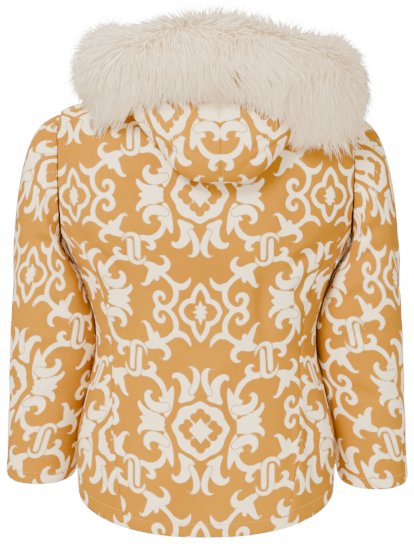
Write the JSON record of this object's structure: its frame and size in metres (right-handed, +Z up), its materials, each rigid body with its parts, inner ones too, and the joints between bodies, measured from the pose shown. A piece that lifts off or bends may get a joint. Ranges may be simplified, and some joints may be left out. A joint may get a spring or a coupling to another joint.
{
  "type": "hooded parka with a fur-trimmed hood",
  "caption": "Hip-length hooded parka in scroll-patterned cloth, worn shape with nobody in it, sleeves hanging, hood thrown back and edged with a long fur ruff",
  "frame": {"origin": "the middle of the neck opening, at the height of the back neck seam, where the wearer carries the coat", "axes": "+Z is up along the coat's length, the front faces -Y, and the wearer's left is +X"},
  "size_m": [0.625, 0.343, 0.7471],
  "materials": {
    "printed_cloth": "printed cotton twill, matt, gold ground with cream scrollwork",
    "fur": "long soft cream fur",
    "button": "plain brown sew-through buttons"
  },
  "bodies": {
    "root": {"back_panel": "printed_cloth", "front_left": "printed_cloth", "front_right": "printed_cloth", "front_placket": "printed_cloth", "sleeve_left": "printed_cloth", "sleeve_right": "printed_cloth", "hood_left": "printed_cloth", "hood_right": "printed_cloth", "button_1": "button", "button_2": "button", "button_3": "button", "button_4": "button", "button_5": "button", "fur_trim": "fur"}
  },
  "joints": []
}
